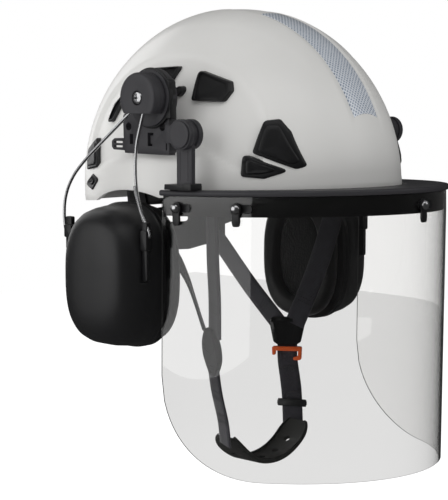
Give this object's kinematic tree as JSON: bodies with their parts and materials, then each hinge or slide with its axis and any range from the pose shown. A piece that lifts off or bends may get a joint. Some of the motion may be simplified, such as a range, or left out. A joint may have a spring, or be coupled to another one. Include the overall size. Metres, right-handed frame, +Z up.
{
  "type": "forestry helmet",
  "caption": "Vented work helmet with a flip-up clear face shield, wire-arm ear defenders, a ratchet headband and a chin strap.",
  "frame": {"origin": "centre of the headband, level with the shell's front rim", "axes": "+Z up, -Y to the front, +X to the wearer's left"},
  "size_m": [0.296, 0.3247, 0.36],
  "materials": {
    "shell_plastic": "satin off-white ABS",
    "black_plastic": "fine moulded grain",
    "reflective_film": "silver film with a fine diamond mesh",
    "webbing": "satin woven webbing",
    "steel": "polished",
    "cup_plastic": "satin moulded",
    "cushion_skin": "soft vinyl skin",
    "foam": "open-cell foam",
    "sweatband_pad": "padded knit",
    "orange_plastic": "moulded",
    "chin_rubber": "matt",
    "clear_sheet": "clear polycarbonate"
  },
  "bodies": {
    "helmet": {"shell": "shell_plastic", "vent_inserts": "black_plastic", "lamp_clips": "black_plastic", "shell_plugs": "black_plastic", "reflective_strip": "reflective_film", "adapter_plate_right": "black_plastic", "adapter_plate_left": "black_plastic", "adapter_blades": "black_plastic", "hub_base_right": "black_plastic", "hub_base_left": "black_plastic", "hub_screws": "steel", "visor_pins": "steel", "headband": "black_plastic", "sweatband": "sweatband_pad", "nape_cradle": "black_plastic", "ratchet_housing": "black_plastic", "crown_strap_long": "webbing", "crown_strap_cross": "webbing", "suspension_clips": "black_plastic", "chin_strap_front_right": "webbing", "chin_strap_rear_right": "webbing", "chin_strap_lower_right": "webbing", "strap_slider": "black_plastic", "chin_strap_front_left": "webbing", "chin_strap_rear_left": "webbing", "chin_strap_lower_left": "webbing", "chin_buckle": "black_plastic", "strap_keeper": "black_plastic", "chin_cup": "chin_rubber"},
    "fit_knob": {"ratchet_knob": "black_plastic"},
    "chin_release": {"release_clip": "orange_plastic"},
    "visor": {"visor_frame": "black_plastic", "visor_band": "black_plastic", "visor_seal": "chin_rubber", "visor_lens": "clear_sheet", "lens_studs": "steel", "visor_arm_right": "black_plastic", "visor_arm_left": "black_plastic", "visor_brackets": "black_plastic"},
    "button_1": {"lens_button_1": "black_plastic"},
    "button_2": {"lens_button_2": "black_plastic"},
    "button_3": {"lens_button_3": "black_plastic"},
    "button_4": {"lens_button_4": "black_plastic"},
    "button_5": {"lens_button_5": "black_plastic"},
    "hub_right": {"hub_cap_right": "black_plastic"},
    "wires_right": {"wire_arm_right": "steel"},
    "muff_right": {"cup_pivots_right": "black_plastic", "ear_cup_right": "cup_plastic", "cup_plate_right": "black_plastic", "cup_foam_right": "foam", "ear_cushion_right": "cushion_skin"},
    "hub_left": {"hub_cap_left": "black_plastic"},
    "wires_left": {"wire_arm_left": "steel"},
    "muff_left": {"cup_pivots_left": "black_plastic", "ear_cup_left": "cup_plastic", "cup_plate_left": "black_plastic", "cup_foam_left": "foam", "ear_cushion_left": "cushion_skin"}
  },
  "joints": [
    {"name": "visor_flip", "type": "hinge", "parent": "helmet", "child": "visor", "pos_m": [0, -0.058, 0.039], "axis": [-1, 0, 0], "range_deg": [0, 95]},
    {"name": "lens_button_1_turn", "type": "hinge", "parent": "visor", "child": "button_1", "pos_m": [-0.11606, -0.04662, -0.01425], "axis": [-0.9966, -0.0824, 0.0017], "range_deg": [0, 90]},
    {"name": "lens_button_2_turn", "type": "hinge", "parent": "visor", "child": "button_2", "pos_m": [-0.10533, -0.09499, -0.01324], "axis": [-0.9363, -0.3511, 0.0074], "range_deg": [0, 90]},
    {"name": "lens_button_3_turn", "type": "hinge", "parent": "visor", "child": "button_3", "pos_m": [0, -0.17948, -0.01147], "axis": [0, -0.9998, 0.0209], "range_deg": [0, 90]},
    {"name": "lens_button_4_turn", "type": "hinge", "parent": "visor", "child": "button_4", "pos_m": [0.10533, -0.09499, -0.01324], "axis": [0.9363, -0.3511, 0.0074], "range_deg": [0, 90]},
    {"name": "lens_button_5_turn", "type": "hinge", "parent": "visor", "child": "button_5", "pos_m": [0.11606, -0.04662, -0.01425], "axis": [0.9966, -0.0824, 0.0017], "range_deg": [0, 90]},
    {"name": "muff_swing_right", "type": "hinge", "parent": "helmet", "child": "hub_right", "pos_m": [-0.125, -0.0195, 0.065], "axis": [1, 0, 0], "range_deg": [0, 3]},
    {"name": "muff_flip_right", "type": "hinge", "parent": "hub_right", "child": "wires_right", "pos_m": [-0.126, -0.0165, 0.0555], "axis": [0, 1, 0], "range_deg": [0, 21]},
    {"name": "cup_tilt_right", "type": "hinge", "parent": "wires_right", "child": "muff_right", "pos_m": [-0.128, 0.014, -0.036], "axis": [0, 1, 0], "range_deg": [-6, 6]},
    {"name": "muff_swing_left", "type": "hinge", "parent": "helmet", "child": "hub_left", "pos_m": [0.125, -0.0195, 0.065], "axis": [1, 0, 0], "range_deg": [0, 3]},
    {"name": "muff_flip_left", "type": "hinge", "parent": "hub_left", "child": "wires_left", "pos_m": [0.126, -0.0165, 0.0555], "axis": [0, -1, 0], "range_deg": [0, 21]},
    {"name": "cup_tilt_left", "type": "hinge", "parent": "wires_left", "child": "muff_left", "pos_m": [0.128, 0.014, -0.036], "axis": [0, -1, 0], "range_deg": [-6, 6]},
    {"name": "fit_knob_turn", "type": "hinge", "parent": "helmet", "child": "fit_knob", "pos_m": [0, 0.118, -0.049], "axis": [0, 1, 0], "continuous": true},
    {"name": "chin_release_slide", "type": "slide", "parent": "helmet", "child": "chin_release", "axis": [-0.0714, -0.05, -0.9962], "range_m": [0, 0.002], "stiffness_N_per_m": 900}
  ]
}
